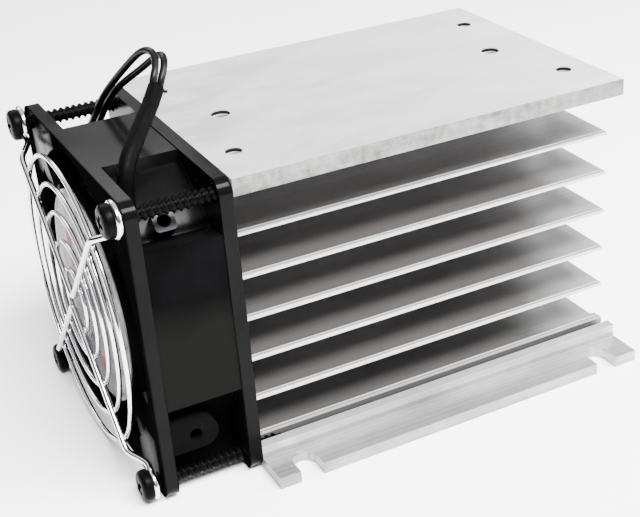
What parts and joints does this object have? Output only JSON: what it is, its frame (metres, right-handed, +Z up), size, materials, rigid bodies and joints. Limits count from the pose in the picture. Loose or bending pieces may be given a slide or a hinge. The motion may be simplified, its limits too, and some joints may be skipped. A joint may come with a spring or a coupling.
{
  "type": "fan-cooled heat sink for a solid state relay",
  "caption": "Finned aluminium heat sink with a screwed-on axial fan, wire finger guard and loose supply leads; its flat top is the seat for a solid state relay.",
  "frame": {"origin": "middle of the assembly without its loose leads, on the plane the base stands on", "axes": "+X along the fins away from the fan, +Y across the fins, +Z up through the relay seat"},
  "size_m": [0.142, 0.1306, 0.1014],
  "materials": {
    "extruded_aluminium": "satin",
    "fan_black": "gloss",
    "label_foil": "gloss",
    "brass_tube": "satin",
    "bearing_steel": "satin",
    "lamination": "matte",
    "insulation": "matte",
    "enamelled_copper": "gloss",
    "board": "matte",
    "shaft_steel": "satin",
    "cast_cage": "matte",
    "impeller_plastic": "satin",
    "guard_chrome": "gloss",
    "screw_black": "satin",
    "sleeve_black": "matte",
    "lead_black": "satin"
  },
  "bodies": {
    "base": {"heatsink": "extruded_aluminium", "fan_housing": "fan_black", "hub_label": "label_foil", "bearing_tube": "brass_tube", "front_bearing": "bearing_steel", "rear_bearing": "bearing_steel", "stator_core": "lamination", "stator_insulation": "insulation", "stator_coils": "enamelled_copper", "shading_rings": "enamelled_copper", "terminal_board": "board", "guard_ring_1": "guard_chrome", "guard_ring_2": "guard_chrome", "guard_ring_3": "guard_chrome", "guard_ring_4": "guard_chrome", "guard_ring_5": "guard_chrome", "guard_upper_arm": "guard_chrome", "guard_lower_arm": "guard_chrome", "fan_screw_1": "screw_black", "fan_screw_2": "screw_black", "fan_screw_3": "screw_black", "fan_screw_4": "screw_black", "lead_sleeve": "sleeve_black", "lead_1": "lead_black", "lead_2": "lead_black", "lead_coil_1": "lead_black", "lead_coil_2": "lead_black"},
    "rotor": {"shaft": "shaft_steel", "retaining_ring": "shaft_steel", "preload_washer": "shaft_steel", "rotor_core": "lamination", "rotor_cage": "cast_cage", "impeller": "impeller_plastic"}
  },
  "joints": [
    {"name": "impeller_spin", "type": "hinge", "parent": "base", "child": "rotor", "pos_m": [-0.055, 0, 0.04], "axis": [1, 0, 0], "continuous": true}
  ]
}
